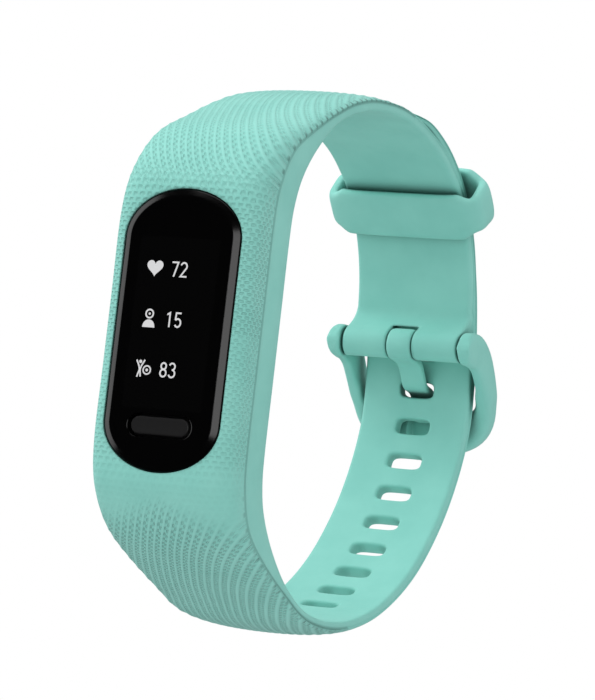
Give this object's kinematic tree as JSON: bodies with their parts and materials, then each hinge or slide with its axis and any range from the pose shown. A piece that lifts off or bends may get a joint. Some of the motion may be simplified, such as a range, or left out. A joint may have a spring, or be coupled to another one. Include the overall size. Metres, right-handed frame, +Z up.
{
  "type": "fitness tracker band",
  "caption": "Slim fitness tracker: an upright oval-ended screen module in a soft one-piece wrist strap with a pin buckle and a keeper loop.",
  "frame": {"origin": "centre of the wrist opening, on the axis along the forearm, level with the middle of the display", "axes": "+X along the forearm, -Y the way the screen faces, +Z up along the module"},
  "size_m": [0.0226, 0.0765, 0.0697],
  "materials": {
    "silicone": "matte",
    "buckle": "satin",
    "lens": "polished black",
    "key": "satin black",
    "case": "satin",
    "steel": "bright",
    "seal": "matte",
    "adhesive": "matte",
    "display": "polished",
    "flex": "satin",
    "board": "solder resist",
    "chip": "matte",
    "carrier": "satin",
    "contact": "gold plated",
    "battery": "foil",
    "led": "clear",
    "window": "polished"
  },
  "bodies": {
    "band": {"band_body": "silicone", "spring_bar_tube": "steel", "spring_bar_spring": "steel"},
    "keeper": {"keeper_loop": "silicone"},
    "buckle": {"buckle_frame": "buckle"},
    "tongue": {"buckle_tongue": "buckle"},
    "tip_left": {"spring_bar_tip_left": "steel"},
    "tip_right": {"spring_bar_tip_right": "steel"},
    "module": {"front_lens": "lens", "lens_adhesive": "adhesive", "front_case": "case", "case_seal": "seal", "rear_case": "case", "mid_frame": "carrier", "display_panel": "display", "display_flex": "flex", "button_seal": "seal", "dome_switch": "steel", "main_board": "board", "board_chips": "chip", "antenna_strip": "contact", "vibration_motor": "steel", "battery_cell": "battery", "battery_foam": "adhesive", "battery_lead": "flex", "optical_board": "board", "sensor_leds": "led", "sensor_photodiodes": "chip", "light_barrier": "case", "sensor_window": "window", "charge_contacts": "contact", "contact_flex": "flex"},
    "button": {"button_cap": "key"}
  },
  "joints": [
    {"name": "module_release", "type": "slide", "parent": "band", "child": "module", "axis": [0, 1, 0], "range_m": [0, 0.012]},
    {"name": "button_press", "type": "slide", "parent": "module", "child": "button", "axis": [0, 1, 0], "range_m": [0, 0.0003], "stiffness_N_per_m": 1500, "springref_m": -0.0003},
    {"name": "buckle_pivot", "type": "hinge", "parent": "band", "child": "buckle", "pos_m": [0, 0.026, 0.0055], "axis": [1, 0, 0], "range_deg": [0, 77]},
    {"name": "tongue_pivot", "type": "hinge", "parent": "band", "child": "tongue", "pos_m": [0, 0.026, 0.0055], "axis": [1, 0, 0], "range_deg": [0, 1]},
    {"name": "keeper_slide", "type": "hinge", "parent": "band", "child": "keeper", "pos_m": [0, 0.005, 0.0084], "axis": [1, 0, 0], "range_deg": [-14, 8]},
    {"name": "tip_left_slide", "type": "slide", "parent": "band", "child": "tip_left", "axis": [1, 0, 0], "range_m": [0, 0.001], "stiffness_N_per_m": 500, "springref_m": -0.001},
    {"name": "tip_right_slide", "type": "slide", "parent": "band", "child": "tip_right", "axis": [-1, 0, 0], "range_m": [0, 0.001], "stiffness_N_per_m": 500, "springref_m": -0.001}
  ]
}
